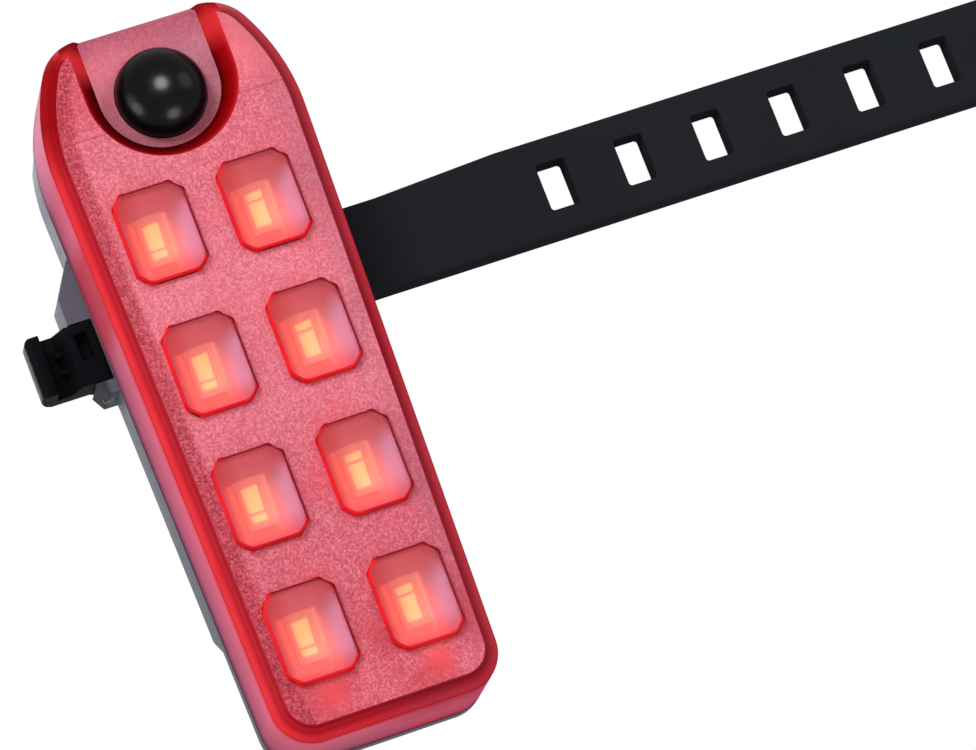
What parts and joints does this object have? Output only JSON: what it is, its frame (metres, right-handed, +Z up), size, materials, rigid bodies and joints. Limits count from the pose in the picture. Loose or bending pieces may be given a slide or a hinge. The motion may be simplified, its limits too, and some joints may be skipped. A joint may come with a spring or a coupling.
{
  "type": "bike rear light",
  "caption": "Rear bicycle light with a long red lens over paired light wells, a domed power button, a dark battery housing, a side hook and a rubber ladder strap round the seat post.",
  "frame": {"origin": "on the seat post's axis, level with the middle of the strap and the hook", "axes": "+Z up along the seat post, towards the button's end; -Y is the way the light shines; +X is the side that the strap leaves from"},
  "size_m": [0.1635, 0.033, 0.0864],
  "materials": {
    "red_lens": "clear glossy shell, frosted on the front face",
    "button_rubber": "glossy",
    "red_reflector": "satin",
    "board_laminate": "satin",
    "led_package": "satin",
    "chip_epoxy": "matte",
    "capacitor_ceramic": "satin",
    "white_plastic": "satin",
    "zinc_steel": "satin",
    "nickel_spring": "satin",
    "grey_plastic": "satin, fine mould texture",
    "seal_rubber": "matte",
    "cell_sleeve": "glossy",
    "black_rubber": "matte",
    "black_plastic": "satin",
    "strap_rubber": "matte with faint specks"
  },
  "bodies": {
    "housing": {"rear_housing": "grey_plastic", "seal_ring": "seal_rubber", "battery_cell_left": "cell_sleeve", "battery_cell_right": "cell_sleeve", "bridge_contact": "nickel_spring", "negative_contact": "nickel_spring", "positive_contact": "nickel_spring", "post_saddle": "grey_plastic", "saddle_screws": "zinc_steel", "saddle_pad": "black_rubber", "strap_hook": "black_plastic", "hook_pin": "zinc_steel", "strap_pin": "zinc_steel"},
    "front": {"front_lens": "red_lens", "light_well_frame": "red_reflector", "circuit_board": "board_laminate", "led_1": "led_package", "led_2": "led_package", "led_3": "led_package", "led_4": "led_package", "led_5": "led_package", "led_6": "led_package", "led_7": "led_package", "led_8": "led_package", "control_chip": "chip_epoxy", "chip_resistors": "chip_epoxy", "chip_capacitor": "capacitor_ceramic", "switch_body": "chip_epoxy", "board_screws": "zinc_steel", "contact_fingers": "nickel_spring"},
    "button": {"power_button": "button_rubber"},
    "plunger": {"switch_plunger": "white_plastic"},
    "strap": {"rubber_strap": "strap_rubber"}
  },
  "joints": [
    {"name": "front_release", "type": "slide", "parent": "housing", "child": "front", "axis": [0, -1, 0], "range_m": [0, 0.025]},
    {"name": "power_button", "type": "slide", "parent": "front", "child": "button", "axis": [0, 1, 0], "range_m": [0, 0.0005], "stiffness_N_per_m": 2000, "springref_m": -0.0001},
    {"name": "switch_plunger", "type": "slide", "parent": "front", "child": "plunger", "axis": [0, 1, 0], "range_m": [0, 0.00025]},
    {"name": "strap_swing", "type": "hinge", "parent": "housing", "child": "strap", "pos_m": [0.0159, -0.0232, 0], "axis": [0, 0, 1], "range_deg": [-45, 90]}
  ],
  "couplings": [
    {"joint": "switch_plunger", "follows": "power_button", "ratio": 0.5}
  ]
}
